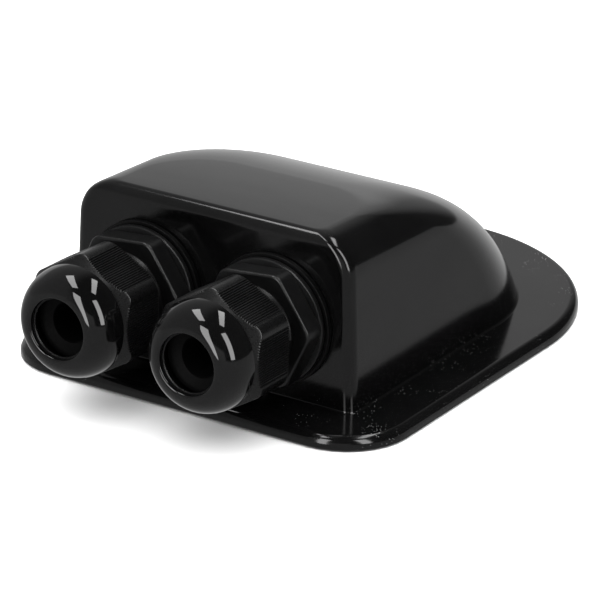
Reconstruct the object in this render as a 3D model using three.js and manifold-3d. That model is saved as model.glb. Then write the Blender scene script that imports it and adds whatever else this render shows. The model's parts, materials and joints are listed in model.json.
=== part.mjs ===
// Double cable gland housing: a hollow hood with a wide glue flange, and two screwed cable
// glands in its upright front wall. Millimetres, +Z up. The glands point along -Y, the hood
// falls away towards +Y, X = 0 is the plane of symmetry, and the flange's underside is Z = 0.
import * as THREE from 'three';
import { mergeVertices } from 'three/addons/utils/BufferGeometryUtils.js';
import Module from 'manifold-3d';

const wasm = await Module();
wasm.setup();

// ---------- driving dimensions ----------
const GAP = 0.3;               // air between neighbouring pieces

// glands, from the cable outwards: distances along each axis are measured from the front wall
const SEAL_BORE = 8.5;
const SEAL_WALL = 1.9;
const SEAL_LIP = 1.3;          // thickness of the seal's front lip
const SEAL_DEPTH = 4.7;        // seal's face behind the mouth
const CAGE_WALL = 1.5;
const CAGE_LENGTH = 13.4;
const CAGE_FINGERS = 12;
const CAGE_RING = 2.5;         // uncut ring that the fingers stand on
const FINGER_SLOT = 0.8;
const BODY_WALL = 1.25;        // outside the cage, under the thread
const BODY_STEP = 1.2;         // step that the cage sits on
const THREAD_DEPTH = 0.5;
const THREAD_PITCH = 1.5;
const FRONT_THREAD_LENGTH = 11.2;
const BODY_HEX_THICK = 4.8;
const COLLAR_THICK = 1.3;
const CORNER_REACH = 1.4;      // rounded hex corners and the collar, beyond the flats
const GASKET_LEDGE = 0.6;      // gasket beyond the collar
const GASKET_THICK = 1.1;
const CAP_WALL = 1.7;          // outside the cap's thread, at the flats
const CAP_OPEN_GAP = 4.6;      // between the body's hex and the cap, as the caps stand
const CAP_STOP_GAP = 0.4;      // what is left of it when a cap is screwed home
const CAP_SHOULDER = 1.5;      // slope and groove between the flats and the nose
const CONE_LEAD = 1;           // the inner cone starts this far behind the nose
const NOSE_STEP = 0.2;         // nose inside the flats
const NOSE_LENGTH = 6.8;
const MOUTH_MARGIN = 2.2;      // mouth beyond the seal's bore
const NUT_WALL = 3.2;          // outside the lock nut's thread, at the flats
const NUT_CORNER_REACH = 1.6;
const NUT_THICK = 5;
const THREAD_PROUD = 1.7;      // rear thread behind the lock nut

// hood
const HOOD_LENGTH = 92;        // at the base
const HOOD_WALL = 2.5;
const GLAND_SPACING = 1.4;     // air between the lock nuts
const NUT_SIDE_ROOM = 0.9;     // air between a lock nut and the hood's side
const NUT_HEAD_ROOM = 2.7;     // air between a lock nut and the hood's top
const GASKET_FOOT_ROOM = 2.9;  // air between a gasket and the flange
const SIDE_DRAFT = 2.35;       // degrees each side leans in
const WALL_DRAFT = 0.95;       // degrees the front wall leans back
const TOP_FALL = 2.1;          // degrees the top falls towards the rear
const TOP_FLAT = 27;           // straight part of the top, behind the front wall
const TOP_EDGE_ROUND = 8.5;    // round between the top and each side
const FRONT_ROLL = 2.4;        // round between the front wall and its neighbours
const REAR_CORNER_BASE = 36;   // rear corners seen from above, at the base
const REAR_CORNER_TOP = 15;    // and at the top
const REAR_RISE_POWER = 1.2;   // shape of the falling rear line
const REAR_RUN_POWER = 1.77;

// flange
const FLANGE_THICK = 3;
const FLANGE_ROLL = 2;         // round top edge
const FLANGE_SIDE = 11.5;      // how far it reaches beyond each side of the hood
const FLANGE_FRONT = 12.5;     // beyond the front wall
const FLANGE_REAR = 13.2;      // beyond the hood's rear
const FLANGE_FRONT_CORNER = 14.5;
const FLANGE_REAR_CORNER = 46;

// how the hexagons stand, in degrees from a corner to the side
const BODY_HEX_TURN = 5;
const CAP_HEX_TURN = 30;
const NUT_HEX_TURN = 30;

// ---------- sizes that follow ----------
const radians = THREE.MathUtils.degToRad;

// radii of a gland, from its bore outwards
const boreRadius = SEAL_BORE / 2;
const sealRadius = boreRadius + SEAL_WALL;
const cageInner = sealRadius + GAP;
const cageOuter = cageInner + CAGE_WALL;
const bodySeatRadius = cageOuter + GAP;
const rearBore = bodySeatRadius - BODY_STEP;
const threadRoot = bodySeatRadius + BODY_WALL;
const threadRadius = threadRoot + THREAD_DEPTH;   // 10 mm: the usual 20 mm thread
const wallHole = threadRadius + GAP;
const hexFlats = 2 * (threadRadius + GAP + CAP_WALL);
const hexCorner = hexFlats / 2 + CORNER_REACH;
const gasketRadius = hexCorner + GASKET_LEDGE;
const noseRadius = hexFlats / 2 - NOSE_STEP;
const mouthRadius = boreRadius + MOUTH_MARGIN;
const nutFlats = 2 * (threadRadius + GAP + NUT_WALL);
const nutCorner = nutFlats / 2 + NUT_CORNER_REACH;

// places along a gland's axis
const gasketFrom = GAP;
const gasketTo = gasketFrom + GASKET_THICK;
const collarFrom = gasketTo + GAP;
const bodyHexFrom = collarFrom + COLLAR_THICK;
const bodyHexTo = bodyHexFrom + BODY_HEX_THICK;
const bodyFrontEnd = bodyHexTo + FRONT_THREAD_LENGTH;
const capTighten = CAP_OPEN_GAP - CAP_STOP_GAP;   // travel left until a cap is home
const capBack = bodyHexTo + CAP_OPEN_GAP;
const coneFrom = bodyFrontEnd + capTighten + GAP;
const noseFrom = coneFrom + CONE_LEAD;
const capHexTo = noseFrom - CAP_SHOULDER;
const noseTip = noseFrom + NOSE_LENGTH;
const coneTo = noseTip - 1.6;
const sealFace = noseTip - SEAL_DEPTH;
const cageFront = sealFace - SEAL_LIP - GAP;
const cageBack = cageFront - CAGE_LENGTH;
const bodySeat = cageBack - capTighten - GAP;
const nutTo = -HOOD_WALL - GAP;
const nutFrom = nutTo - NUT_THICK;
const bodyRearEnd = nutFrom - THREAD_PROUD;

// hood and flange, round the glands
const glandPitch = 2 * nutCorner + GLAND_SPACING;
const glandHeight = FLANGE_THICK + GASKET_FOOT_ROOM + gasketRadius;
const sideLean = Math.tan(radians(SIDE_DRAFT));
const wallLean = Math.tan(radians(WALL_DRAFT));
const topLean = Math.tan(radians(TOP_FALL));
const hoodHalfWidth = glandPitch / 2 + nutCorner + NUT_SIDE_ROOM + HOOD_WALL + glandHeight * sideLean;
const hoodHeight = glandHeight + nutCorner + NUT_HEAD_ROOM + HOOD_WALL;

// ---------- small helpers ----------
const point = (x, y) => new THREE.Vector2(x, y);

function solidOf(geometry) {
  const plain = geometry.index ? geometry.toNonIndexed() : geometry.clone();
  plain.deleteAttribute('normal');
  plain.deleteAttribute('uv');
  const merged = mergeVertices(plain, 1e-5);
  const mesh = new wasm.Mesh({
    numProp: 3,
    vertProperties: new Float32Array(merged.attributes.position.array),
    triVerts: new Uint32Array(merged.index.array),
  });
  mesh.merge();
  return new wasm.Manifold(mesh);
}

function geometryOf(solid) {
  const mesh = solid.getMesh();
  const geometry = new THREE.BufferGeometry();
  geometry.setAttribute('position', new THREE.BufferAttribute(mesh.vertProperties, 3));
  geometry.setIndex(new THREE.BufferAttribute(mesh.triVerts, 1));
  geometry.computeVertexNormals();
  return geometry;
}

// A closed body through rings of points: every ring has the same number of points and runs
// anticlockwise seen from above, from the lowest ring to the highest.
function loft(rings) {
  const count = rings[0].length;
  const positions = rings.flat().flatMap((v) => [v.x, v.y, v.z]);
  const faces = [];
  for (let level = 0; level + 1 < rings.length; level += 1) {
    for (let i = 0; i < count; i += 1) {
      const a = level * count + i;
      const b = level * count + ((i + 1) % count);
      faces.push(a, b, b + count, a, b + count, a + count);
    }
  }
  const top = (rings.length - 1) * count;
  for (let i = 1; i + 1 < count; i += 1) {
    faces.push(0, i + 1, i);
    faces.push(top, top + i, top + i + 1);
  }
  const geometry = new THREE.BufferGeometry();
  geometry.setAttribute('position', new THREE.Float32BufferAttribute(positions, 3));
  geometry.setIndex(faces);
  return geometry;
}

// Outline seen from above: straight front at y0, straight sides, rear at y1, four round corners.
function outline(halfWidth, y0, y1, frontRound, rearRound, z) {
  const front = Math.min(frontRound, halfWidth * 0.98);
  const rear = Math.min(rearRound, halfWidth * 0.995, (y1 - y0) - front - 0.5);
  const corners = [
    [halfWidth - front, y0 + front, front, -90, 5],
    [halfWidth - rear, y1 - rear, rear, 0, 13],
    [-halfWidth + rear, y1 - rear, rear, 90, 13],
    [-halfWidth + front, y0 + front, front, 180, 5],
  ];
  const ring = [];
  for (const [cx, cy, radius, start, steps] of corners) {
    for (let i = 0; i <= steps; i += 1) {
      const angle = radians(start + (90 * i) / steps);
      ring.push(new THREE.Vector3(cx + radius * Math.cos(angle), cy + radius * Math.sin(angle), z));
    }
  }
  return ring;
}

// how far a quarter-round edge of this radius stands back, at a height below its top
function roundInset(radius, below) {
  if (below >= radius) return 0;
  return radius - Math.sqrt(radius ** 2 - (radius - below) ** 2);
}

// ---------- hood ----------
// The hood's skin, moved inwards by an offset: 0 gives the outside, HOOD_WALL the cavity.
function hoodShape(offset, bottom) {
  const height = hoodHeight - offset;
  const edge = Math.max(TOP_EDGE_ROUND - offset, 1);
  const roll = Math.max(FRONT_ROLL - offset, 0.6);
  const levels = 20;
  const rings = [];
  for (let i = 0; i <= levels; i += 1) {
    const turn = radians((90 * i) / levels);
    const rise = Math.sin(turn) ** (2 / REAR_RISE_POWER);
    const run = i === levels ? 0 : Math.cos(turn) ** (2 / REAR_RUN_POWER);
    const z = i === 0 ? bottom : height * rise;
    const halfWidth = hoodHalfWidth - offset - Math.max(z, 0) * sideLean;
    const side = halfWidth - roundInset(edge, height - z);
    const front = offset + (z - glandHeight) * wallLean;
    const rear = TOP_FLAT + (HOOD_LENGTH - offset - TOP_FLAT) * run;
    const corner = REAR_CORNER_BASE + (REAR_CORNER_TOP - REAR_CORNER_BASE) * rise - offset;
    const ring = outline(side, front + roundInset(roll, height - z), rear, roll, corner, z);
    for (const v of ring) v.z -= Math.max(v.y, 0) * rise * topLean;
    rings.push(ring);
  }
  return solidOf(loft(rings));
}

function flangeShape() {
  const rings = [];
  const rollSteps = 5;
  const heights = [0];
  for (let i = 0; i <= rollSteps; i += 1) {
    const turn = radians((90 * i) / rollSteps);
    heights.push(FLANGE_THICK - FLANGE_ROLL + FLANGE_ROLL * Math.sin(turn));
  }
  for (const z of heights) {
    const inset = roundInset(FLANGE_ROLL, FLANGE_THICK - z);
    rings.push(outline(hoodHalfWidth + FLANGE_SIDE - inset, -FLANGE_FRONT + inset,
      HOOD_LENGTH + FLANGE_REAR - inset, FLANGE_FRONT_CORNER - inset, FLANGE_REAR_CORNER - inset, z));
  }
  return solidOf(loft(rings));
}

// ---------- gland pieces ----------
// Each is made round +Z, standing on the wall at Z = 0, and its group turns +Z outwards.
const ROUND_STEPS = 40;

function turned(profile, steps = ROUND_STEPS) {
  return new THREE.LatheGeometry(profile.map(([r, s]) => point(r, s)), steps).rotateX(Math.PI / 2);
}

// a closed profile goes round from inside to outside, so that the faces point out
function turnedRing(profile, steps = ROUND_STEPS) {
  return turned([...profile, profile[0]], steps);
}

function hexBar(flats, from, to, turn) {
  const shape = new THREE.Shape();
  for (let i = 0; i < 6; i += 1) {
    const angle = radians(60 * i + turn);
    const x = (flats / Math.sqrt(3)) * Math.cos(angle);
    const y = (flats / Math.sqrt(3)) * Math.sin(angle);
    if (i === 0) shape.moveTo(x, y); else shape.lineTo(x, y);
  }
  shape.closePath();
  const bar = new THREE.ExtrudeGeometry(shape, { depth: to - from, bevelEnabled: false });
  return solidOf(bar.translate(0, 0, from));
}

// radius of the cone inside the cap, at a distance from the wall
function coneRadius(s) {
  const wide = wallHole - 0.4;
  const share = THREE.MathUtils.clamp((s - coneFrom) / (coneTo - coneFrom), 0, 1);
  return wide + (mouthRadius - wide) * share;
}

// a row of thread crests between two places
function threadProfile(from, to) {
  const turns = Math.floor((to - from) / THREAD_PITCH);
  const points = [];
  for (let i = 0; i < turns; i += 1) {
    const s = from + i * THREAD_PITCH;
    points.push([threadRoot, s + 0.2 * THREAD_PITCH]);
    points.push([threadRadius, s + 0.7 * THREAD_PITCH]);
  }
  return points;
}

// a plain round bar along a gland's axis, for holes
function drillBar(radius, from, to) {
  return solidOf(turned([[0, from], [radius, from], [radius, to], [0, to]]));
}

function gasketGeometry() {
  return turnedRing([
    [wallHole, gasketFrom], [gasketRadius - 0.2, gasketFrom], [gasketRadius, gasketFrom + 0.2],
    [gasketRadius, gasketTo - 0.2], [gasketRadius - 0.2, gasketTo], [wallHole, gasketTo],
  ]);
}

function bodyGeometry() {
  const underHex = hexFlats / 2 - 0.4;
  const round = turnedRing([
    [rearBore, bodyRearEnd], [threadRoot - 0.4, bodyRearEnd],
    ...threadProfile(bodyRearEnd + 0.4, collarFrom),
    [threadRoot, collarFrom],
    [hexCorner - 0.3, collarFrom], [hexCorner, collarFrom + 0.3],
    [hexCorner, bodyHexFrom - 0.3], [hexCorner - 0.3, bodyHexFrom],
    [underHex, bodyHexFrom], [underHex, bodyHexTo], [threadRoot, bodyHexTo],
    ...threadProfile(bodyHexTo, bodyFrontEnd - 0.6),
    [threadRoot, bodyFrontEnd - 0.6], [threadRoot - 0.4, bodyFrontEnd],
    [bodySeatRadius, bodyFrontEnd], [bodySeatRadius, bodySeat], [rearBore, bodySeat],
  ]);
  const cornerRound = turned([
    [0, bodyHexFrom - 0.1], [hexCorner, bodyHexFrom - 0.1], [hexCorner, bodyHexTo - 0.6],
    [hexCorner - 0.6, bodyHexTo], [0, bodyHexTo],
  ]);
  const hex = hexBar(hexFlats, bodyHexFrom - 0.1, bodyHexTo, BODY_HEX_TURN);
  const core = drillBar(threadRoot - 0.2, bodyHexFrom - 1, bodyHexTo + 1);
  return geometryOf(solidOf(round).add(hex.intersect(solidOf(cornerRound)).subtract(core)));
}

function capGeometry() {
  const lip = 0.5;
  const dome = [];
  const steps = 9;
  for (let i = 0; i <= steps; i += 1) {
    const turn = radians((90 * i) / steps);
    dome.push([
      mouthRadius + lip + (noseRadius - mouthRadius - lip) * Math.cos(turn),
      noseFrom + NOSE_LENGTH * Math.sin(turn),
    ]);
  }
  const groove = noseRadius - 0.4;
  const outside = solidOf(turned([
    [0, capBack], [hexCorner - 0.8, capBack], [hexCorner, capBack + 0.6],
    [hexCorner, capHexTo - 0.9], [groove, capHexTo + 0.9], [groove, noseFrom - 0.2],
    ...dome, [mouthRadius, noseTip - lip], [0, noseTip - lip],
  ]));
  const hex = hexBar(hexFlats, capBack - 1, noseTip + 1, CAP_HEX_TURN);
  const inside = solidOf(turned([
    [0, capBack - 1], [wallHole, capBack - 1], [wallHole, coneFrom], [coneRadius(coneFrom), coneFrom],
    [mouthRadius, coneTo], [mouthRadius, noseTip + 1], [0, noseTip + 1],
  ]));
  return geometryOf(outside.intersect(hex).subtract(inside));
}

function cageGeometry() {
  const shell = solidOf(turnedRing([
    [cageInner, cageBack], [cageOuter, cageBack], [cageOuter, cageFront - 1],
    [cageOuter - 0.5, cageFront], [cageInner, cageFront],
  ]));
  const slotFrom = cageBack + CAGE_RING;
  let cage = shell;
  for (let i = 0; i < CAGE_FINGERS / 2; i += 1) {
    const slot = new THREE.BoxGeometry(2 * cageOuter + 2, FINGER_SLOT, cageFront - slotFrom + 1);
    slot.translate(0, 0, (cageFront + 1 + slotFrom) / 2);
    slot.rotateZ((Math.PI * 2 * i) / CAGE_FINGERS);
    cage = cage.subtract(solidOf(slot));
  }
  return geometryOf(cage);
}

function sealGeometry() {
  const lipRadius = coneRadius(sealFace) - GAP;
  return turnedRing([
    [boreRadius, cageBack + 1], [sealRadius, cageBack + 1], [sealRadius, sealFace - SEAL_LIP],
    [lipRadius, sealFace - SEAL_LIP], [lipRadius, sealFace - 0.4], [lipRadius - 0.4, sealFace],
    [boreRadius + 0.4, sealFace], [boreRadius, sealFace - 0.4],
  ]);
}

function nutGeometry() {
  const cornerRound = turned([
    [0, nutFrom], [nutCorner - 1, nutFrom], [nutCorner, nutFrom + 1],
    [nutCorner, nutTo - 0.8], [nutCorner - 0.8, nutTo], [0, nutTo],
  ]);
  const hex = hexBar(nutFlats, nutFrom, nutTo, NUT_HEX_TURN).intersect(solidOf(cornerRound));
  return geometryOf(hex.subtract(drillBar(wallHole, nutFrom - 1, nutTo + 1)));
}

// ---------- materials ----------
const glossyPlastic = new THREE.MeshStandardMaterial({ color: 0x0b0b0c, roughness: 0.12, metalness: 0 });
const nylon = new THREE.MeshStandardMaterial({ color: 0x101011, roughness: 0.35, metalness: 0 });
const capNylon = new THREE.MeshStandardMaterial({ color: 0x0d0d0e, roughness: 0.2, metalness: 0 });
const rubber = new THREE.MeshStandardMaterial({ color: 0x141414, roughness: 0.7, metalness: 0 });
glossyPlastic.name = 'glossy_black_plastic';
nylon.name = 'black_nylon';
capNylon.name = 'polished_black_nylon';
rubber.name = 'black_rubber';

function piece(name, geometry, material) {
  const mesh = new THREE.Mesh(geometry, material);
  mesh.name = name;
  return mesh;
}

// ---------- assembly ----------
// a gland stands square to the leaning front wall
function glandPlace(x) {
  const place = new THREE.Group();
  place.position.set(x, 0, glandHeight);
  place.rotation.x = Math.PI / 2 - radians(WALL_DRAFT);
  return place;
}

function hoodGeometry() {
  let hood = hoodShape(0, 0).add(flangeShape()).subtract(hoodShape(HOOD_WALL, -1));
  for (const x of [-glandPitch / 2, glandPitch / 2]) {
    const holder = glandPlace(x);
    holder.updateMatrixWorld();
    const drill = turned([
      [0, -2 * HOOD_WALL], [wallHole, -2 * HOOD_WALL], [wallHole, HOOD_WALL], [0, HOOD_WALL],
    ]);
    hood = hood.subtract(solidOf(drill.applyMatrix4(holder.matrixWorld)));
  }
  return geometryOf(hood);
}

const assembly = new THREE.Group();
assembly.add(piece('hood', hoodGeometry(), glossyPlastic));
for (const [side, x] of [['left', -glandPitch / 2], ['right', glandPitch / 2]]) {
  const gland = glandPlace(x);
  gland.add(
    piece(`${side}_gasket`, gasketGeometry(), rubber),
    piece(`${side}_gland_body`, bodyGeometry(), nylon),
    piece(`${side}_clamp_cage`, cageGeometry(), nylon),
    piece(`${side}_seal`, sealGeometry(), rubber),
    piece(`${side}_cap`, capGeometry(), capNylon),
    piece(`${side}_lock_nut`, nutGeometry(), nylon),
  );
  assembly.add(gland);
}

// the middle of the whole part, seen from above, lies at X = 0, Y = 0
const model = new THREE.Group();
model.add(assembly);
const box = new THREE.Box3().setFromObject(assembly, true);
assembly.position.y = -(box.min.y + box.max.y) / 2;

export default model;
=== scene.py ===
# %% [markdown]
# # A double cable gland housing for a roof
#
# The real object is a black, glossy plastic hood that is glued to a roof by its wide
# flange. Two screwed nylon glands stand side by side in its upright front wall, and each
# one holds a cable in a rubber seal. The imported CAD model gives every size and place.
# This lesson builds the looks round it: one piece after another, each from a primitive
# that is shaped with Blender's own mesh operators.

# %% Load the fixed frame
import json
import math

import bmesh
import bpy
from mathutils import Matrix, Vector


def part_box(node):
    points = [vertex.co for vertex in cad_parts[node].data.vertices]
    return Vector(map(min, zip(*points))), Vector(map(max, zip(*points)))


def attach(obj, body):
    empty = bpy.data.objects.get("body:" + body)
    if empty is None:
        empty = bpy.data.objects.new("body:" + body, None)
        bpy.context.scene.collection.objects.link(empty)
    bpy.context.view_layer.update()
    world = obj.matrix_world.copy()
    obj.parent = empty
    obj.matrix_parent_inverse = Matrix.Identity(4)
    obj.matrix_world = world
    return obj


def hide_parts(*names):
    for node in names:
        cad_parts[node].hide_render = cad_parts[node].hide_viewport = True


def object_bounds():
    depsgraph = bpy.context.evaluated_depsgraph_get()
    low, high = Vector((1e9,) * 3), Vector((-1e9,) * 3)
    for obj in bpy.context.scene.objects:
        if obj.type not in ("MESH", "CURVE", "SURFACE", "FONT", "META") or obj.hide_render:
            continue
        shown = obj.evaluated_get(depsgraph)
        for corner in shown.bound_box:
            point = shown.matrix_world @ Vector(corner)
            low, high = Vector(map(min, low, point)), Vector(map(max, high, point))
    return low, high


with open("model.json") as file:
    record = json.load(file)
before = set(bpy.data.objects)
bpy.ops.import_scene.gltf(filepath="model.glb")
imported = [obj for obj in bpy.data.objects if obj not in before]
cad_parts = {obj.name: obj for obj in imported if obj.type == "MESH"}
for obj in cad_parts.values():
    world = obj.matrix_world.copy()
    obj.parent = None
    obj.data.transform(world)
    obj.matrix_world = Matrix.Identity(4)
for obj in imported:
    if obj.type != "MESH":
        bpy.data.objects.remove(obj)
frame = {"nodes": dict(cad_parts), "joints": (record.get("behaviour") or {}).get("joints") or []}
cad_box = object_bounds()
print("CAD nodes:", sorted(frame["nodes"]))

# %% [markdown]
# ## Units and small tools
#
# The object is drawn in millimetres, as its maker would, while Blender counts in metres,
# so one value turns one into the other. An operator acts on everything that is selected,
# and the loader leaves its nodes selected. That is why a small function first clears the
# selection and then takes one object.

# %% Units and selection
MM = 0.001


def take(piece):
    """Select this piece alone and make it the active one."""
    if bpy.context.object and bpy.context.object.mode != "OBJECT":
        bpy.ops.object.mode_set(mode="OBJECT")
    bpy.ops.object.select_all(action="DESELECT")
    if piece:
        piece.select_set(True)
        bpy.context.view_layer.objects.active = piece


def count_of(piece):
    triangles = sum(len(face.vertices) - 2 for face in piece.data.polygons)
    return f"{piece.name}: {triangles} triangles"


take(None)

# %% [markdown]
# ## Growing a body ring by ring
#
# Most moulded shapes here change their outline from one end to the other, like the hood
# over a rounded plan or the cap from a hexagon into a dome. They could be cut from blocks
# with booleans, but the cuts leave ragged edges where reflections break. Extruding one
# closed ring of edges again and again keeps the faces in clean rows. Every point carries
# its place in the ring, so the new ring can be laid on the next outline.

# %% The ring tool
def grow(name, rings, ends="filled"):
    """A body through rings of (x, y, z) millimetres; ends are filled or joined."""
    take(None)
    bpy.ops.mesh.primitive_circle_add(vertices=len(rings[0]), radius=10 * MM)
    piece = bpy.context.object
    piece.name = piece.data.name = name
    bpy.ops.object.mode_set(mode="EDIT")
    mesh = bmesh.from_edit_mesh(piece.data)
    place = mesh.verts.layers.int.new("place")
    for number, vertex in enumerate(mesh.verts):
        vertex[place] = number
        vertex.co = Vector(rings[0][number]) * MM
    bmesh.update_edit_mesh(piece.data)
    if ends == "filled":
        bpy.ops.mesh.select_all(action="SELECT")
        bpy.ops.mesh.edge_face_add()
    bpy.ops.mesh.select_mode(type="EDGE")
    for number, ring in enumerate(rings[1:]):
        if number == 0 and ends == "filled":
            # the first ring is the border of the filled end
            bpy.ops.mesh.select_all(action="SELECT")
            bpy.ops.mesh.region_to_loop()
        bpy.ops.mesh.extrude_edges_move()
        mesh = bmesh.from_edit_mesh(piece.data)
        place = mesh.verts.layers.int["place"]
        for vertex in mesh.verts:
            if vertex.select:
                vertex.co = Vector(ring[vertex[place]]) * MM
        bmesh.update_edit_mesh(piece.data)
    if ends == "filled":
        bpy.ops.mesh.edge_face_add()
    bpy.ops.mesh.select_all(action="SELECT")
    bpy.ops.mesh.remove_doubles(threshold=0.002 * MM)
    bpy.ops.mesh.normals_make_consistent(inside=False)
    bpy.ops.object.mode_set(mode="OBJECT")
    piece.data.attributes.remove(piece.data.attributes["place"])
    return piece


# %% [markdown]
# Round pieces are the other family: gaskets, seals and the bored inside of a gland. A
# lathe makes them on the bench, and Blender's Spin does the same. The closed half section
# is laid out once, as radius and place along the axis, and spun through a full turn.

# %% The lathe tool
def turn(name, section, steps=96):
    """A closed section of (radius, place along the axis) in millimetres, spun round Z."""
    take(None)
    bpy.ops.mesh.primitive_circle_add(vertices=len(section), radius=10 * MM)
    piece = bpy.context.object
    piece.name = piece.data.name = name
    for vertex, (radius, along) in zip(piece.data.vertices, section):
        vertex.co = (radius * MM, 0, along * MM)
    bpy.ops.object.mode_set(mode="EDIT")
    bpy.ops.mesh.select_all(action="SELECT")
    bpy.ops.mesh.spin(steps=steps, angle=2 * math.pi, center=(0, 0, 0), axis=(0, 0, 1))
    bpy.ops.mesh.select_all(action="SELECT")
    bpy.ops.mesh.remove_doubles(threshold=0.002 * MM)
    bpy.ops.mesh.normals_make_consistent(inside=False)
    bpy.ops.object.mode_set(mode="OBJECT")
    return piece


# %% [markdown]
# ## Finishing a piece
#
# Plastic out of a polished mould has soft, even highlights. Smooth shading with a limit
# angle keeps the true edges crisp, and the Weighted Normal modifier lets the large faces
# rule over the narrow ones beside them, so that flats stay flat right up to their edges.

# %% Smooth shading
def smooth(piece, angle=28):
    take(piece)
    bpy.ops.object.shade_smooth_by_angle(angle=math.radians(angle))
    weighted = piece.modifiers.new("flats rule", "WEIGHTED_NORMAL")
    weighted.keep_sharp = True
    bpy.ops.object.modifier_apply(modifier=weighted.name)
    return piece


def joined(name, pieces):
    take(pieces[0])
    for piece in pieces[1:]:
        piece.select_set(True)
    bpy.ops.object.join()
    piece = bpy.context.object
    piece.name = piece.data.name = name
    return piece


# %% [markdown]
# ## The sizes of the housing
#
# These are the CAD model's own sizes: the hood leans in towards its top, falls away at the
# rear, and its roof slopes down a little. Only the crown, a slight bow of that roof, is
# not in the CAD. Heights are from the surface it stands on. The printed box is that of the
# CAD node, for comparison.

# %% Housing sizes
HOOD_HALF_WIDTH = 35.117   # at the base
HOOD_HEIGHT = 40.2
HOOD_LENGTH = 92
HOOD_WALL = 2.5
TOP_FLAT = 27
TOP_EDGE_ROUND = 8.5
FRONT_ROLL = 2.4
CROWN, CROWN_RUN = 0.6, 60   # how far the roof bows down, and over what length
REAR_CORNER_BASE, REAR_CORNER_TOP = 36, 15
RISE_POWER, RUN_POWER = 1.2, 1.77
SIDE_LEAN = math.tan(math.radians(2.35))
WALL_LEAN = math.tan(math.radians(0.95))
TOP_LEAN = math.tan(math.radians(2.1))
FLANGE_THICK, FLANGE_ROLL = 3, 2
FLANGE_SIDE, FLANGE_FRONT, FLANGE_REAR = 11.5, 12.5, 13.2
FLANGE_FRONT_CORNER, FLANGE_REAR_CORNER = 14.5, 46
GLAND_HEIGHT = 19.9

joints = {joint["name"]: joint for joint in frame["joints"]}
WALL_Y = joints["left_cap_turn"]["pos_m"][1] / MM   # front wall at the height of the glands
low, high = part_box("hood")
print("hood node, mm:", [round(v / MM, 2) for v in (*low, *high)])

# %% [markdown]
# Seen from above, hood and flange have the same kind of outline: a straight front, straight
# sides and four round corners, the rear ones much larger. The corner points are dense at
# the rear because that is where long reflections bend round.

# %% The outline seen from above
FRONT_STEPS, REAR_STEPS = 8, 40


def outline(half_width, front, rear, front_round, rear_round):
    front_round = min(front_round, half_width * 0.98)
    rear_round = min(rear_round, half_width * 0.995, (rear - front) - front_round - 0.5)
    corners = [
        (half_width - front_round, front + front_round, front_round, -90, FRONT_STEPS),
        (half_width - rear_round, rear - rear_round, rear_round, 0, REAR_STEPS),
        (-half_width + rear_round, rear - rear_round, rear_round, 90, REAR_STEPS),
        (-half_width + front_round, front + front_round, front_round, 180, FRONT_STEPS),
    ]
    points = []
    for x, y, radius, start, steps in corners:
        for step in range(steps + 1):
            angle = math.radians(start + 90 * step / steps)
            points.append((x + radius * math.cos(angle), y + radius * math.sin(angle)))
    return points


def round_inset(radius, below):
    """How far a quarter round stands back, at a depth below its top."""
    if below >= radius:
        return 0
    return radius - math.sqrt(max(radius ** 2 - (radius - below) ** 2, 0))


# %% [markdown]
# The hood's rear line rises as a squashed circle. One value, the share of the full height,
# therefore gives a whole outline: how wide, how far back, and how round the corners are.
# A sheared ring follows the sloping roof, and a level ring lies in one height, which the
# foot needs where it meets the flat flange.

# %% Rings of the hood
def hood_outline(rise, offset):
    height = (HOOD_HEIGHT - offset) * rise
    below = (HOOD_HEIGHT - offset) - height
    sine = rise ** (RISE_POWER / 2)
    run = max(1 - sine ** 2, 0) ** (1 / RUN_POWER)
    edge = max(TOP_EDGE_ROUND - offset, 1)
    roll = max(FRONT_ROLL - offset, 0.6)
    half_width = HOOD_HALF_WIDTH - offset - height * SIDE_LEAN - round_inset(edge, below)
    front = offset + (height - GLAND_HEIGHT) * WALL_LEAN + round_inset(roll, below)
    rear = TOP_FLAT + (HOOD_LENGTH - offset - TOP_FLAT) * run
    corner = REAR_CORNER_BASE + (REAR_CORNER_TOP - REAR_CORNER_BASE) * rise - offset
    return outline(half_width, front, rear, roll, corner)


def bow(y):
    """How far the roof, which is not quite flat, bows down at a distance from the front."""
    share = min(max(y, 0) / CROWN_RUN, 1)
    return CROWN * share ** 3 * (6 * share ** 2 - 15 * share + 10)


def sheared_ring(rise, offset=0):
    height = (HOOD_HEIGHT - offset) * rise
    return [(x, y + WALL_Y, height - (max(y, 0) * TOP_LEAN + bow(y)) * rise)
            for x, y in hood_outline(rise, offset)]


def level_ring(height, offset=0):
    start = height / (HOOD_HEIGHT - offset)
    ring = []
    for number, (x, y) in enumerate(hood_outline(start, offset)):
        for _ in range(3):
            rise = height / (HOOD_HEIGHT - offset - max(y, 0) * TOP_LEAN)
            x, y = hood_outline(rise, offset)[number]
        ring.append((x, y + WALL_Y, height))
    return ring


def flange_ring(height, inset):
    points = outline(HOOD_HALF_WIDTH + FLANGE_SIDE - inset, -FLANGE_FRONT + inset,
                     HOOD_LENGTH + FLANGE_REAR - inset, FLANGE_FRONT_CORNER - inset,
                     FLANGE_REAR_CORNER - inset)
    return [(x, y + WALL_Y, height) for x, y in points]


# %% [markdown]
# ## The hood and its flange
#
# Hood and flange are one moulding, about 2.5 mm thick and open underneath. It could be a
# solid that Solidify hollows out, but the wall would then follow the flange as well. One
# chain of rings does it all: down the inside of the cavity, out along the underside, up
# round the flange's rolled rim, in along its top, round a small fillet at the foot, and
# up the outside. Four last rings, one inside the other, let the roof bow by a hair.

# %% Chain the rings
CAVITY_LEVELS, HOOD_LEVELS, ROLL_STEPS = 26, 64, 10
FOOT_FILLET = 0.45


def rise_at(level, levels):
    return math.sin(math.radians(90 * level / levels)) ** (2 / RISE_POWER)


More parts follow.
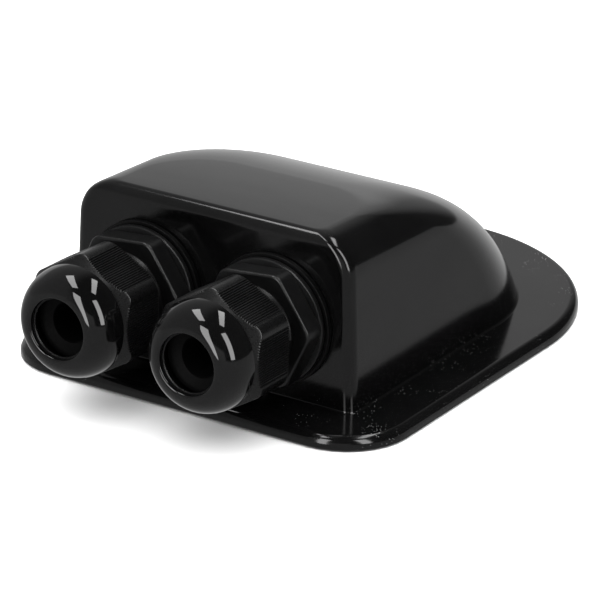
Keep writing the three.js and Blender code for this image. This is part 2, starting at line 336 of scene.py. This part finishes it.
rings = [sheared_ring(rise_at(level, CAVITY_LEVELS), HOOD_WALL)
         for level in range(CAVITY_LEVELS, 0, -1)]
rings.append(sheared_ring(0, HOOD_WALL))
rings += [flange_ring(0, 0.2), flange_ring(0.2, 0)]
for step in range(ROLL_STEPS + 1):
    angle = math.radians(90 * step / ROLL_STEPS)
    rings.append(flange_ring(FLANGE_THICK - FLANGE_ROLL + FLANGE_ROLL * math.sin(angle),
                             FLANGE_ROLL - FLANGE_ROLL * math.cos(angle)))
for step in range(5):
    angle = math.radians(90 * step / 4)
    rings.append(level_ring(FLANGE_THICK + FOOT_FILLET * (1 - math.cos(angle)),
                            -FOOT_FILLET * (1 - math.sin(angle))))
FOOT_CLEAR = 1.9   # the upright rings start this far above the flange
first_level = next(level for level in range(HOOD_LEVELS)
                   if HOOD_HEIGHT * rise_at(level, HOOD_LEVELS) > FLANGE_THICK + FOOT_CLEAR)
rings += [sheared_ring(rise_at(level, HOOD_LEVELS))
          for level in range(first_level, HOOD_LEVELS + 1)]
for share in (0.8, 0.6, 0.4, 0.2):
    # the roof itself, ring inside ring, so that it can bow
    ring = []
    for x, y in hood_outline(1, 0):
        x, y = x * share, TOP_FLAT / 2 + (y - TOP_FLAT / 2) * share
        ring.append((x, y + WALL_Y, HOOD_HEIGHT - y * TOP_LEAN - bow(y)))
    rings.append(ring)
hood = grow("hood_moulding", rings)
print(count_of(hood), "from", len(rings), "rings")

# %% [markdown]
# ## Two bores through the front wall
#
# Each gland passes through a round hole of 20.6 mm. A drill is a cylinder, and a boolean
# with it is the exact cut that the press tool makes. The gland's own frame, with its axis
# square to the leaning wall, comes from the joint that turns the cap.

# %% Gland frames and the bores
WALL_HOLE = 10.3


def gland_frame(side):
    joint = joints[f"{side}_cap_turn"]
    outward = Vector(joint["axis"]).normalized()
    across = Vector((1, 0, 0))
    upward = outward.cross(across)
    turned = Matrix((across, upward, outward)).transposed().to_4x4()
    return Matrix.Translation(Vector(joint["pos_m"])) @ turned


for side in ("left", "right"):
    take(None)
    bpy.ops.mesh.primitive_cylinder_add(vertices=96, radius=WALL_HOLE * MM, depth=9 * MM)
    drill = bpy.context.object
    drill.matrix_world = gland_frame(side)
    take(hood)
    bore = hood.modifiers.new("bore", "BOOLEAN")
    bore.operation, bore.object, bore.solver = "DIFFERENCE", drill, "EXACT"
    bpy.ops.object.modifier_apply(modifier=bore.name)
    bpy.data.objects.remove(drill)
smooth(hood)
print(count_of(hood))

# %% [markdown]
# ## Materials: black plastic is never one black
#
# All of it is black, and the eye tells the pieces apart by their gloss. So every finish
# here is one Principled shader whose base colour, roughness and bump are driven by noise
# at the right scale: broad clouds for how the mould was filled, fine grain for its
# surface. Fine pale specks of dust lie low down, on the flange and in the crease at the
# hood's foot. Object coordinates in metres keep the grain the same size everywhere.

# %% The plastic recipe
DUST_FULL, DUST_NONE = 3.1, 5.5   # up to one height dust lies fully, above the other hardly
DUST_TRACE = 0.03                 # what there is of it where it hardly lies
MIX_A, MIX_B, MIX_COLOUR = 6, 7, 2   # the colour sockets of a Mix node


def mapped(nodes, links, source, start, end, at_start, at_end):
    """A value carried over from one range to another."""
    node = nodes.new("ShaderNodeMapRange")
    for name, value in (("From Min", start), ("From Max", end),
                        ("To Min", at_start), ("To Max", at_end)):
        node.inputs[name].default_value = value
    links.new(source, node.inputs["Value"])
    return node.outputs["Result"]


def times(nodes, links, first, second):
    node = nodes.new("ShaderNodeMath")
    node.operation = "MULTIPLY"
    links.new(first, node.inputs[0])
    links.new(second, node.inputs[1])
    return node.outputs["Value"]


def plastic(name, dark, light, gloss, grain, bump, sheen_level=0.5, specks=0.0):
    """A black finish, with noise in its colour, roughness and bump.

    dark, light: base colours; gloss: lowest and highest roughness; grain: per metre; bump:
    in millimetres; sheen_level: specular level; specks: how pale the dust is, 0 for none.
    """
    material = bpy.data.materials.new(name)
    material.use_nodes = True
    nodes, links = material.node_tree.nodes, material.node_tree.links
    shader = nodes["Principled BSDF"]
    shader.inputs["Specular IOR Level"].default_value = sheen_level
    where = nodes.new("ShaderNodeTexCoord")

    clouds = nodes.new("ShaderNodeTexNoise")
    clouds.inputs["Scale"].default_value = 60
    clouds.inputs["Detail"].default_value = 4
    links.new(where.outputs["Object"], clouds.inputs["Vector"])
    colours = nodes.new("ShaderNodeValToRGB")
    colours.color_ramp.elements[0].position = 0.35
    colours.color_ramp.elements[1].position = 0.7
    colours.color_ramp.elements[0].color = (*dark, 1)
    colours.color_ramp.elements[1].color = (*light, 1)
    links.new(clouds.outputs["Fac"], colours.inputs["Fac"])

    fine = nodes.new("ShaderNodeTexNoise")
    fine.inputs["Scale"].default_value = grain
    fine.inputs["Detail"].default_value = 3
    links.new(where.outputs["Object"], fine.inputs["Vector"])
    rough = mapped(nodes, links, fine.outputs["Fac"], 0.3, 0.7, *gloss)
    relief = nodes.new("ShaderNodeBump")
    relief.inputs["Strength"].default_value = 1.0
    relief.inputs["Distance"].default_value = bump * MM
    links.new(fine.outputs["Fac"], relief.inputs["Height"])
    links.new(relief.outputs["Normal"], shader.inputs["Normal"])

    if specks:
        dots = nodes.new("ShaderNodeTexVoronoi")
        dots.inputs["Scale"].default_value = 1500
        links.new(where.outputs["Object"], dots.inputs["Vector"])
        near = mapped(nodes, links, dots.outputs["Distance"], 0.08, 0.13, 1, 0)
        patches = nodes.new("ShaderNodeTexNoise")
        patches.inputs["Scale"].default_value = 90
        links.new(where.outputs["Object"], patches.inputs["Vector"])
        where_dusty = mapped(nodes, links, patches.outputs["Fac"], 0.52, 0.66, DUST_TRACE, 1)
        height = nodes.new("ShaderNodeSeparateXYZ")
        links.new(where.outputs["Object"], height.inputs["Vector"])
        low_down = mapped(nodes, links, height.outputs["Z"],
                          DUST_FULL * MM, DUST_NONE * MM, 1, DUST_TRACE)
        share = times(nodes, links, times(nodes, links, near, where_dusty), low_down)
        dusty = nodes.new("ShaderNodeMix")
        dusty.data_type = "RGBA"
        dusty.inputs[MIX_B].default_value = (specks, specks, specks, 1)
        links.new(share, dusty.inputs["Factor"])
        links.new(colours.outputs["Color"], dusty.inputs[MIX_A])
        links.new(dusty.outputs[MIX_COLOUR], shader.inputs["Base Color"])
    else:
        links.new(colours.outputs["Color"], shader.inputs["Base Color"])
    links.new(rough, shader.inputs["Roughness"])
    return material


def grey(value):
    return (value, value, value * 1.03)


hood_plastic = plastic("glossy_black_plastic", grey(0.0012), grey(0.0025), (0.11, 0.15),
                       900, 0.002, 0.46, specks=0.42)
cap_nylon = plastic("polished_black_nylon", grey(0.0012), grey(0.0025), (0.03, 0.055),
                    1500, 0.001)
grip_nylon = plastic("satin_grip_nylon", grey(0.0015), grey(0.003), (0.26, 0.32),
                     2500, 0.003, 0.42)
gland_nylon = plastic("satin_black_nylon", grey(0.002), grey(0.004), (0.28, 0.36),
                      2500, 0.004, 0.42)
nut_nylon = plastic("nut_black_nylon", grey(0.002), grey(0.004), (0.28, 0.36), 2500, 0.004)
cage_nylon = plastic("cage_black_nylon", grey(0.002), grey(0.004), (0.35, 0.45), 2500, 0.004)
gasket_rubber = plastic("gasket_black_rubber", grey(0.001), grey(0.002), (0.3, 0.4),
                        3500, 0.004, 0.2)
seal_rubber = plastic("seal_black_rubber", grey(0.0012), grey(0.003), (0.5, 0.65),
                      3500, 0.02, 0.05)


def finish_piece(piece, body, node, material):
    """Give the piece its finish, and let it ride in the place of its CAD node."""
    if not piece.data.materials:
        piece.data.materials.append(material)
    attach(piece, body)
    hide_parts(node)
    print(count_of(piece), "rides on", body)


finish_piece(hood, "housing", "hood", hood_plastic)

# %% [markdown]
# ## Places along a gland
#
# A gland is built round its own axis, with zero on the outside of the front wall and
# counting outwards, and is then put in its frame. The caps are shown as they stand on the
# object: screwed on loosely, with thread still showing behind them.

# %% Gland sizes
SEAL_BORE, SEAL_RADIUS = 4.25, 6.15
BODY_SEAT_RADIUS, REAR_BORE = 8.25, 7.05
THREAD_ROOT, THREAD_RADIUS, THREAD_PITCH = 9.5, 10.0, 1.5
HEX_FLAT, HEX_CORNER = 12.0, 13.4       # from the axis to a flat and to a rounded corner
GASKET_RADIUS = 14.0
GASKET_FROM, GASKET_TO = 0.3, 1.4
COLLAR_FROM, BODY_HEX_FROM, BODY_HEX_TO, BODY_FRONT_END = 1.7, 3.0, 7.8, 19.0
CAP_BACK, CAP_HEX_TO, CONE_FROM, NOSE_FROM, NOSE_TIP = 12.4, 23.0, 23.5, 24.5, 31.3
NOSE_RADIUS, MOUTH_RADIUS, NOSE_LENGTH = 11.8, 6.45, 6.8
BODY_SEAT, NUT_TO, NUT_FROM, BODY_REAR_END = 7.1, -2.8, -7.8, -9.5
SEAL_BACK, SEAL_FACE, SEAL_LIP = 12.6, 26.6, 1.3
BODY_HEX_TURN, CAP_HEX_TURN, NUT_HEX_TURN = 5, 30, 30
low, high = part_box("left_cap")
print("left cap node, mm:", [round(v / MM, 2) for v in (*low, *high)])


def stand(piece, side):
    """Put a gland piece from the drawing board into its gland, with its place in its mesh."""
    piece.matrix_world = gland_frame(side)
    take(piece)
    bpy.ops.object.transform_apply(location=True, rotation=True, scale=True)
    return piece


def copy_of(piece, name):
    twin = piece.copy()
    twin.data = piece.data.copy()
    twin.name = twin.data.name = name
    bpy.context.scene.collection.objects.link(twin)
    return twin


def both(piece, role, bodies, material):
    """Put the piece and its copy into the left and the right gland."""
    twin = copy_of(piece, f"right_{role}_look")
    piece.name = piece.data.name = f"left_{role}_look"
    for side, each in (("left", piece), ("right", twin)):
        stand(each, side)
        finish_piece(each, bodies.format(side), f"{side}_{role}", material)


# %% [markdown]
# ## The hexagon with rounded corners
#
# Cap, body and lock nut are all held with a spanner, so each has six flats and corners
# that are rounded to spare the fingers. One outline serves the three: six short arcs with
# straight flats between them. The cap's flats carry fine round ribs for grip, so its flat
# points can stand back by the depth between two ribs.

# %% The hexagon outline
def hexagon(flat, corner, turned_by, flat_points=6, corner_points=8, ribs=0, rib_depth=0.0):
    """Points (x, y) round a hexagon, from the axis: flat and corner distances."""
    slant = 1 / math.cos(math.radians(30))
    radius = (flat * slant - corner) / (slant - 1)
    half = (flat - radius) * math.tan(math.radians(30))
    points = []
    for side in range(6):
        normal = math.radians(60 * side + turned_by + 30)
        out = Vector((math.cos(normal), math.sin(normal)))
        along = Vector((-math.sin(normal), math.cos(normal)))
        steps = 4 * ribs if ribs else flat_points
        for step in range(1, steps):
            share = step / steps
            dip = 0.0
            if ribs:
                # groove, shoulder of the rib, its crown, and its other shoulder
                dip = (rib_depth, rib_depth * 0.2, 0, rib_depth * 0.2)[step % 4]
                share = (step - (step % 4) + (0, 0.95, 2, 3.05)[step % 4]) / steps
            points.append(out * (flat - dip) + along * half * (2 * share - 1))
        centre = out * (flat - radius) + along * half
        for step in range(corner_points + 1):
            angle = normal + math.radians(60 * step / corner_points)
            points.append(centre + radius * Vector((math.cos(angle), math.sin(angle))))
    return points


def ring_at(points, along, radius=None, inset=0.0):
    """The outline at a place on the axis: as it is, drawn in, or on a circle."""
    ring = []
    for point in points:
        reach = point.length - inset if radius is None else radius
        x, y = point * (reach / point.length)
        ring.append((x, y, along))
    return ring


# %% [markdown]
# ## The cap
#
# The cap is the piece one sees most. Its back is a hexagon with ribbed flats, a shallow
# cone cuts the corners off towards the front, a thin groove follows, and then a polished
# dome with a round mouth. Cutting a cone from a hexagon with a boolean would leave slivers
# between the ribs. Instead every column of points finds its own place where it meets the
# cone, and the ring bends along that edge by itself.

# %% Rings of the cap
RIBS, RIB_DEPTH = 20, 0.3
CONE_FOOT = 9.6   # wide end of the cone inside, which presses on the fingers
CONE_BACK, CONE_DROP, CONE_RUN = CAP_HEX_TO - 0.9, 2.0, 1.8
GROOVE_RADIUS = NOSE_RADIUS - 0.4

ribbed = hexagon(HEX_FLAT, HEX_CORNER, CAP_HEX_TURN, ribs=RIBS, rib_depth=RIB_DEPTH)


def cone_place(reach):
    """Where along the axis the shoulder cone has this radius."""
    return CONE_BACK + CONE_RUN * (HEX_CORNER - reach) / CONE_DROP


def back_place(reach):
    """The rear corners are cut back by a short chamfer as well."""
    return CAP_BACK + 0.6 * max(reach - (HEX_CORNER - 0.8), 0) / 0.8


def drawn_in(point, inset, along):
    """A point of the outline, moved in towards the axis, at a place along it."""
    return (*(point * ((point.length - inset) / point.length)), along)


cap_rings = [
    [drawn_in(p, 0.3, back_place(p.length - 0.3)) for p in ribbed],
    [drawn_in(p, 0.08, back_place(p.length) + 0.08) for p in ribbed],
    [(*p, back_place(p.length) + 0.3) for p in ribbed],
    [(*p, cone_place(p.length) - 0.14) for p in ribbed],
    [drawn_in(p, 0.03, cone_place(p.length) - 0.02) for p in ribbed],
]
for share in (0.1, 0.35, 0.65, 1.0):
    ring = []
    for p in ribbed:
        reach = p.length + (GROOVE_RADIUS - p.length) * share
        ring.append((*(p * (reach / p.length)), cone_place(reach)))
    cap_rings.append(ring)
cap_rings.append(ring_at(ribbed, NOSE_FROM - 0.35, GROOVE_RADIUS))
cap_rings.append(ring_at(ribbed, NOSE_FROM - 0.2, GROOVE_RADIUS + 0.05))

DOME_STEPS, MOUTH_LIP = 22, 0.5
for step in range(DOME_STEPS + 1):
    angle = math.radians(90 * step / DOME_STEPS)
    reach = MOUTH_RADIUS + MOUTH_LIP + (NOSE_RADIUS - MOUTH_RADIUS - MOUTH_LIP) * math.cos(angle)
    cap_rings.append(ring_at(ribbed, NOSE_FROM + NOSE_LENGTH * math.sin(angle), reach))
for step in range(1, 7):
    angle = math.radians(90 * step / 6)
    cap_rings.append(ring_at(ribbed, NOSE_TIP - MOUTH_LIP * (1 - math.cos(angle)),
                             MOUTH_RADIUS + MOUTH_LIP * (1 - math.sin(angle))))
for reach, along in ((MOUTH_RADIUS - 0.03, NOSE_TIP - 1.1), (MOUTH_RADIUS - 0.09, NOSE_TIP - 1.22),
                     (MOUTH_RADIUS - 0.25, NOSE_TIP - 1.26), (MOUTH_RADIUS - 0.31, NOSE_TIP - 1.35),
                     (MOUTH_RADIUS - 0.31, NOSE_TIP - 1.55), (CONE_FOOT, CONE_FROM + 0.1),
                     (CONE_FOOT + 0.3, CONE_FROM), (WALL_HOLE, CONE_FROM),
                     (WALL_HOLE, CAP_BACK + 1.2), (WALL_HOLE + 0.3, CAP_BACK + 0.4)):
    cap_rings.append(ring_at(ribbed, along, reach))
cap_rings.append(ring_at(ribbed, CAP_BACK, WALL_HOLE + 0.35))
cap_rings.append(cap_rings[0])
cap = grow("cap", cap_rings, ends="joined")
smooth(cap, angle=36)

# %% Polished nose, satin grip
cap.data.materials.append(grip_nylon)
cap.data.materials.append(cap_nylon)
for face in cap.data.polygons:
    face.material_index = int(face.center.z > (NOSE_FROM - 0.15) * MM
                              and math.hypot(face.center.x, face.center.y) > MOUTH_RADIUS * MM)
both(cap, "cap", "{}_cap", cap_nylon)

# %% [markdown]
# ## The gland body
#
# The body is held to the wall between its collar and the lock nut. Collar and hexagon come
# from rings, the bored middle from the lathe. The screw thread is a real helix: a small
# closed section that the Screw modifier winds round the axis, one pitch for each turn. Its
# ends are pulled down into the root, where a thread runs out. All these parts are joined.

# %% Collar and hexagon
body_hex = hexagon(HEX_FLAT, HEX_CORNER, BODY_HEX_TURN, flat_points=10, corner_points=10)
inner = THREAD_ROOT - 0.3
collar_rings = [ring_at(body_hex, COLLAR_FROM, inner)]
for reach, along in ((HEX_CORNER - 0.3, COLLAR_FROM), (HEX_CORNER - 0.09, COLLAR_FROM + 0.09),
                     (HEX_CORNER, COLLAR_FROM + 0.3), (HEX_CORNER, BODY_HEX_FROM - 0.3),
                     (HEX_CORNER - 0.09, BODY_HEX_FROM - 0.09), (HEX_CORNER - 0.3, BODY_HEX_FROM)):
    collar_rings.append(ring_at(body_hex, along, reach))
collar_rings.append(ring_at(body_hex, BODY_HEX_FROM + 0.02, inset=0.25))
collar_rings.append(ring_at(body_hex, BODY_HEX_FROM + 0.1, inset=0.05))
collar_rings.append(ring_at(body_hex, BODY_HEX_FROM + 0.3))
EDGE_ROUND = 0.6
for step in range(6):
    angle = math.radians(90 * step / 5)
    collar_rings.append(ring_at(body_hex, BODY_HEX_TO - EDGE_ROUND + EDGE_ROUND * math.sin(angle),
                                inset=EDGE_ROUND - EDGE_ROUND * math.cos(angle)))
collar_rings.append(ring_at(body_hex, BODY_HEX_TO - 0.05, THREAD_RADIUS + 0.5))
collar_rings.append(ring_at(body_hex, BODY_HEX_TO - 0.05, inner))
collar_rings.append(collar_rings[0])
collar = grow("collar and hexagon", collar_rings, ends="joined")

# %% Bored middle
middle = turn("bored middle", [
    (REAR_BORE, BODY_REAR_END + 0.3), (REAR_BORE + 0.3, BODY_REAR_END),
    (THREAD_ROOT - 0.4, BODY_REAR_END), (THREAD_ROOT, BODY_REAR_END + 0.4),
    (THREAD_ROOT, BODY_FRONT_END - 0.5), (THREAD_ROOT - 0.15, BODY_FRONT_END - 0.15),
    (THREAD_ROOT - 0.5, BODY_FRONT_END), (BODY_SEAT_RADIUS + 0.25, BODY_FRONT_END),
    (BODY_SEAT_RADIUS, BODY_FRONT_END - 0.25), (BODY_SEAT_RADIUS, BODY_SEAT),
    (REAR_BORE + 0.2, BODY_SEAT), (REAR_BORE, BODY_SEAT - 0.2),
])


# %% The screw thread
def thread(name, start, end, steps=64):
    """A helical ridge between two places along the axis."""
    turns = (end - start) / THREAD_PITCH
    root = THREAD_ROOT - 0.08
    section = [(root, -0.56), (THREAD_RADIUS, -0.12), (THREAD_RADIUS, 0.12), (root, 0.56)]
    take(None)
    bpy.ops.mesh.primitive_circle_add(vertices=len(section), radius=MM)
    ridge = bpy.context.object
    ridge.name = ridge.data.name = name
    for vertex, (radius, along) in zip(ridge.data.vertices, section):
        vertex.co = (radius * MM, 0, (start + along) * MM)
    wind = ridge.modifiers.new("wind", "SCREW")
    wind.axis, wind.angle = "Z", 2 * math.pi * turns
    wind.screw_offset = (end - start) * MM
    wind.steps = wind.render_steps = round(steps * turns)
    bpy.ops.object.modifier_apply(modifier=wind.name)
    runout = 0.3 * THREAD_PITCH
    for vertex in ridge.data.vertices:
        angle = math.atan2(vertex.co.y, vertex.co.x)
        along = vertex.co.z / MM
        reach = math.hypot(vertex.co.x, vertex.co.y) / MM
        keep = min(1, max(0, min(along - start, end - along) / runout + 0.25))
        reach = root + (reach - root) * keep
        vertex.co.x, vertex.co.y = reach * MM * math.cos(angle), reach * MM * math.sin(angle)
    take(ridge)
    bpy.ops.object.mode_set(mode="EDIT")
    bpy.ops.mesh.select_mode(type="EDGE")
    bpy.ops.mesh.select_all(action="DESELECT")
    bpy.ops.mesh.select_non_manifold()
    bpy.ops.mesh.edge_face_add()
    bpy.ops.mesh.select_all(action="SELECT")
    bpy.ops.mesh.normals_make_consistent(inside=False)
    bpy.ops.object.mode_set(mode="OBJECT")
    return ridge


front_thread = thread("front thread", BODY_HEX_TO + 0.5, BODY_FRONT_END - 0.7)
rear_thread = thread("rear thread", BODY_REAR_END + 0.7, COLLAR_FROM + 0.3)
gland_body = joined("gland body", [collar, middle, front_thread, rear_thread])
smooth(gland_body)
both(gland_body, "gland_body", "housing", gland_nylon)

# %% [markdown]
# ## Gasket, seal and lock nut
#
# The gasket is a flat rubber ring with soft edges, and the seal is a rubber sleeve whose
# front funnels down to the cable hole. Both are turned. The lock nut behind the wall is a
# hexagon with both faces chamfered, bored for the thread.

# %% Gasket
def rounded_corner(radius, along, edge, radius_sign, along_sign, steps=3):
    """Points of a rounded corner of a section, from the face along to the round side."""
    points = []
    for step in range(steps + 1):
        angle = math.radians(90 * step / steps)
        points.append((radius - radius_sign * edge * (1 - math.sin(angle)),
                       along - along_sign * edge * (1 - math.cos(angle))))
    return points


gasket = turn("gasket", [(WALL_HOLE, GASKET_FROM)]
              + rounded_corner(GASKET_RADIUS, GASKET_FROM, 0.12, 1, -1)
              + rounded_corner(GASKET_RADIUS, GASKET_TO, 0.12, 1, 1)[::-1]
              + [(WALL_HOLE, GASKET_TO)])
smooth(gasket)
both(gasket, "gasket", "housing", gasket_rubber)

# %% Seal
LIP_RADIUS = 7.82
seal = turn("seal", [
    (SEAL_BORE, SEAL_BACK + 0.2), (SEAL_BORE + 0.2, SEAL_BACK), (SEAL_RADIUS - 0.2, SEAL_BACK),
    (SEAL_RADIUS, SEAL_BACK + 0.2), (SEAL_RADIUS, SEAL_FACE - SEAL_LIP),
    (LIP_RADIUS - 0.07, SEAL_FACE - SEAL_LIP), (LIP_RADIUS, SEAL_FACE - SEAL_LIP + 0.1),
    (LIP_RADIUS - 0.42, SEAL_FACE + 0.2), (LIP_RADIUS - 0.62, SEAL_FACE + 0.5),
    (LIP_RADIUS - 1.12, SEAL_FACE + 0.55), (LIP_RADIUS - 1.62, SEAL_FACE + 0.4),
    (SEAL_BORE + 0.95, SEAL_FACE + 0.05),
    (SEAL_BORE + 0.35, SEAL_FACE - 0.1), (SEAL_BORE + 0.1, SEAL_FACE - 0.2),
    (SEAL_BORE, SEAL_FACE - 0.45),
])
smooth(seal)
both(seal, "seal", "{}_clamp", seal_rubber)

# %% Lock nut
NUT_FLAT, NUT_CORNER, NUT_CHAMFER = 13.5, 15.1, 0.9
nut_hex = hexagon(NUT_FLAT, NUT_CORNER, NUT_HEX_TURN, flat_points=10, corner_points=10)


def chamfered(points, face, inward):
    """Where each point of a hexagon meets the chamfer cone at a face of the nut."""
    ring = []
    for p in points:
        ring.append((*p, face + inward * NUT_CHAMFER * max(p.length - NUT_FLAT + 0.5, 0) / 2.1))
    return ring


nut_rings = [
    ring_at(nut_hex, NUT_FROM, WALL_HOLE + 0.3), ring_at(nut_hex, NUT_FROM, NUT_FLAT - 0.5),
    chamfered(nut_hex, NUT_FROM, 1), chamfered(nut_hex, NUT_TO, -1),
    ring_at(nut_hex, NUT_TO, NUT_FLAT - 0.5), ring_at(nut_hex, NUT_TO, WALL_HOLE + 0.3),
    ring_at(nut_hex, NUT_TO - 0.3, WALL_HOLE), ring_at(nut_hex, NUT_FROM + 0.3, WALL_HOLE),
    ring_at(nut_hex, NUT_FROM, WALL_HOLE + 0.3),
]
lock_nut = grow("lock nut", nut_rings, ends="joined")
smooth(lock_nut)
both(lock_nut, "lock_nut", "housing", nut_nylon)

# %% [markdown]
# ## The clamp cages
#
# The ring of fingers that squeezes the seal is straight and plain, and the CAD node has
# its true shape already. It stays as it is and gets the dull nylon finish.

# %% Finish the cages
for side in ("left", "right"):
    cage = frame["nodes"][f"{side}_clamp_cage"]
    cage.data.materials.clear()
    cage.data.materials.append(cage_nylon)
    print(cage.name, "keeps its CAD shape")

# %% [markdown]
# ## Floor and light
#
# Glossy black shows nothing but what it reflects, so reflections and floor are lit apart,
# as a studio does with flags and screens. A wide soft light overhead lights the pale
# floor and is kept out of reflections. Two tall narrow soft boxes, in front and to the
# right, give the lower pair of highlights on each dome, and two long overhead strips give
# the upper pair. They stand close, and are kept out of diffuse light, so that the black
# stays deep.

# %% Pale floor
FLOOR_SIZE, FLOOR_GAP = 6, 0.0002   # metres
take(None)
bpy.ops.mesh.primitive_plane_add(size=FLOOR_SIZE, location=(0, 0, cad_box[0][2] - FLOOR_GAP))
floor = bpy.context.object
floor.name = floor.data.name = "floor"
floor_paint = bpy.data.materials.new("pale_floor")
floor_paint.use_nodes = True
paint = floor_paint.node_tree.nodes["Principled BSDF"]
paint.inputs["Base Color"].default_value = (0.9, 0.9, 0.9, 1)
paint.inputs["Roughness"].default_value = 0.9
paint.inputs["Specular IOR Level"].default_value = 0.0
floor.data.materials.append(floor_paint)
floor.visible_glossy = False

# %% Soft boxes
DOMES = Vector((0, (WALL_Y - 28) * MM, GLAND_HEIGHT * MM))   # between the two domes


def heading(degrees, up=0.0):
    """A direction: 0 degrees is in front of the glands, 90 is to their right."""
    flat = math.cos(math.radians(up))
    return Vector((math.sin(math.radians(degrees)) * flat, -math.cos(math.radians(degrees)) * flat,
                   math.sin(math.radians(up))))


def soft_box(name, place, width, length, brightness, along=Vector((0, 0, 1))):
    """A rectangular light that faces the glands, its long side laid along a direction."""
    light = bpy.data.lights.new(name, "AREA")
    light.shape, light.size, light.size_y = "RECTANGLE", width, length
    light.energy = brightness * math.pi * width * length
    box = bpy.data.objects.new(name, light)
    bpy.context.scene.collection.objects.link(box)
    back = (place - DOMES).normalized()
    side = along.cross(back).normalized()
    up = back.cross(side)
    box.matrix_world = Matrix.Translation(place) @ Matrix((side, up, back)).transposed().to_4x4()
    box.visible_camera = False
    return box


DISTANCE, OVERHEAD, BRIGHTNESS = 0.35, 0.3, 7
away, across = heading(213), heading(123)
for name, place, width, length, along in (
    ("front soft box", heading(0, 20) * DISTANCE, 0.105, 0.37, Vector((0, 0, 1))),
    ("right soft box", heading(71, 27) * DISTANCE, 0.093, 0.31, Vector((0, 0, 1))),
    ("left strip", Vector((0, 0, OVERHEAD)) - across * 0.093 + away * 0.023, 0.071, 0.225, away),
    ("right strip", Vector((0, 0, OVERHEAD)) + across * 0.132 + away * 0.041, 0.055, 0.245, away),
):
    soft_box(name, DOMES + place, width, length, BRIGHTNESS, along).visible_diffuse = False
floor_light = soft_box("floor light", DOMES + Vector((0, 0, 1.6)), 5, 5, 3.3, Vector((0, 1, 0)))
floor_light.visible_glossy = False

# %% [markdown]
# The room itself is what the large faces mirror: a mid grey table all round, brighter
# behind the housing, a pale card low down before and behind it, a little haze above the
# card behind, and a room that darkens to the right. The room light is a small node tree on
# the direction alone, so it stands still while the camera moves.

# %% Room light
room = bpy.data.worlds.new("studio")
bpy.context.scene.world = room
room.use_nodes = True
nodes, links = room.node_tree.nodes, room.node_tree.links
towards = nodes.new("ShaderNodeTexCoord")
split = nodes.new("ShaderNodeSeparateXYZ")
links.new(towards.outputs["Generated"], split.inputs["Vector"])


def ramp(source, start, end, low_value, high_value):
    """A smooth step of a value from low to high between start and end."""
    step = nodes.new("ShaderNodeMapRange")
    step.interpolation_type = "SMOOTHSTEP"
    for name, value in (("From Min", start), ("From Max", end),
                        ("To Min", low_value), ("To Max", high_value)):
        step.inputs[name].default_value = value
    links.new(source, step.inputs["Value"])
    return step.outputs["Result"]


def lobe(direction, wide, narrow, strength):
    """Brightness round a direction, full inside the narrow angle and none outside the wide one."""
    dot = nodes.new("ShaderNodeVectorMath")
    dot.operation = "DOT_PRODUCT"
    dot.inputs[1].default_value = direction
    links.new(towards.outputs["Generated"], dot.inputs[0])
    return ramp(dot.outputs["Value"], math.cos(math.radians(wide)),
                math.cos(math.radians(narrow)), 0, strength)


def combine(operation, first, second):
    node = nodes.new("ShaderNodeMath")
    node.operation = operation
    links.new(first, node.inputs[0])
    links.new(second, node.inputs[1])
    return node.outputs["Value"]


TABLE, SIDE_DARK, SIDE_LIGHT = 0.38, 0.045, 0.28
walls = ramp(split.outputs["X"], -0.36, 0.04, SIDE_LIGHT, SIDE_DARK)
sideways = nodes.new("ShaderNodeVectorMath")
sideways.operation = "DOT_PRODUCT"
sideways.inputs[1].default_value = across
links.new(towards.outputs["Generated"], sideways.inputs[0])
card_right = ramp(sideways.outputs["Value"], 0.06, 0.2, 1, 0)
card_left = ramp(sideways.outputs["Value"], -0.7, -0.4, 0, 1)
card_top = ramp(split.outputs["Z"], 0.225, 0.3, 0.4, 0)
card = combine("MULTIPLY", combine("MULTIPLY", card_right, card_left), card_top)
haze = lobe(heading(211, 20), 12, 3, 0.2)
above = combine("ADD", combine("ADD", walls, card), haze)
table = lobe(heading(213, -22), 50, 8, 0.3)
over_horizon = ramp(split.outputs["Z"], -0.02, 0.02, 0, 1)
under_horizon = ramp(split.outputs["Z"], -0.02, 0.02, 1, 0)
below = nodes.new("ShaderNodeMath")
below.operation = "ADD"
below.inputs[1].default_value = TABLE
links.new(table, below.inputs[0])
sky = combine("ADD", combine("MULTIPLY", above, over_horizon),
              combine("MULTIPLY", below.outputs["Value"], under_horizon))
links.new(sky, nodes["Background"].inputs["Strength"])
nodes["Background"].inputs["Color"].default_value = (1, 1, 1, 1)

# %% [markdown]
# ## The camera
#
# The camera looks down on the glands from their front right, with a long lens from well
# back, so that the housing shows little perspective. Position and turn come from a
# heading, a height angle and a distance, aimed at one point of the object.

# %% Camera
LENS, SENSOR = 240.75, 36
HEADING, UPWARD, ROLL, CAMERA_DISTANCE = 33.143, 22.443, 0.474, 0.8067
aim = Vector((0.022038, -0.0368945, 0.02511))
camera_data = bpy.data.cameras.new("camera")
camera_data.lens, camera_data.sensor_width = LENS, SENSOR
camera_data.clip_start = 0.01
camera = bpy.data.objects.new("camera", camera_data)
bpy.context.scene.collection.objects.link(camera)
back = heading(HEADING, UPWARD)
right = Vector((0, 0, 1)).cross(back).normalized()
up = back.cross(right)
tilt = math.radians(ROLL)
camera_x = right * math.cos(tilt) + up * math.sin(tilt)
camera_y = up * math.cos(tilt) - right * math.sin(tilt)
turned = Matrix((camera_x, camera_y, back)).transposed().to_4x4()
camera.matrix_world = Matrix.Translation(aim + back * CAMERA_DISTANCE) @ turned
bpy.context.scene.camera = camera
bpy.context.scene.view_settings.view_transform = "Standard"
print("camera at", [round(v, 4) for v in camera.location])
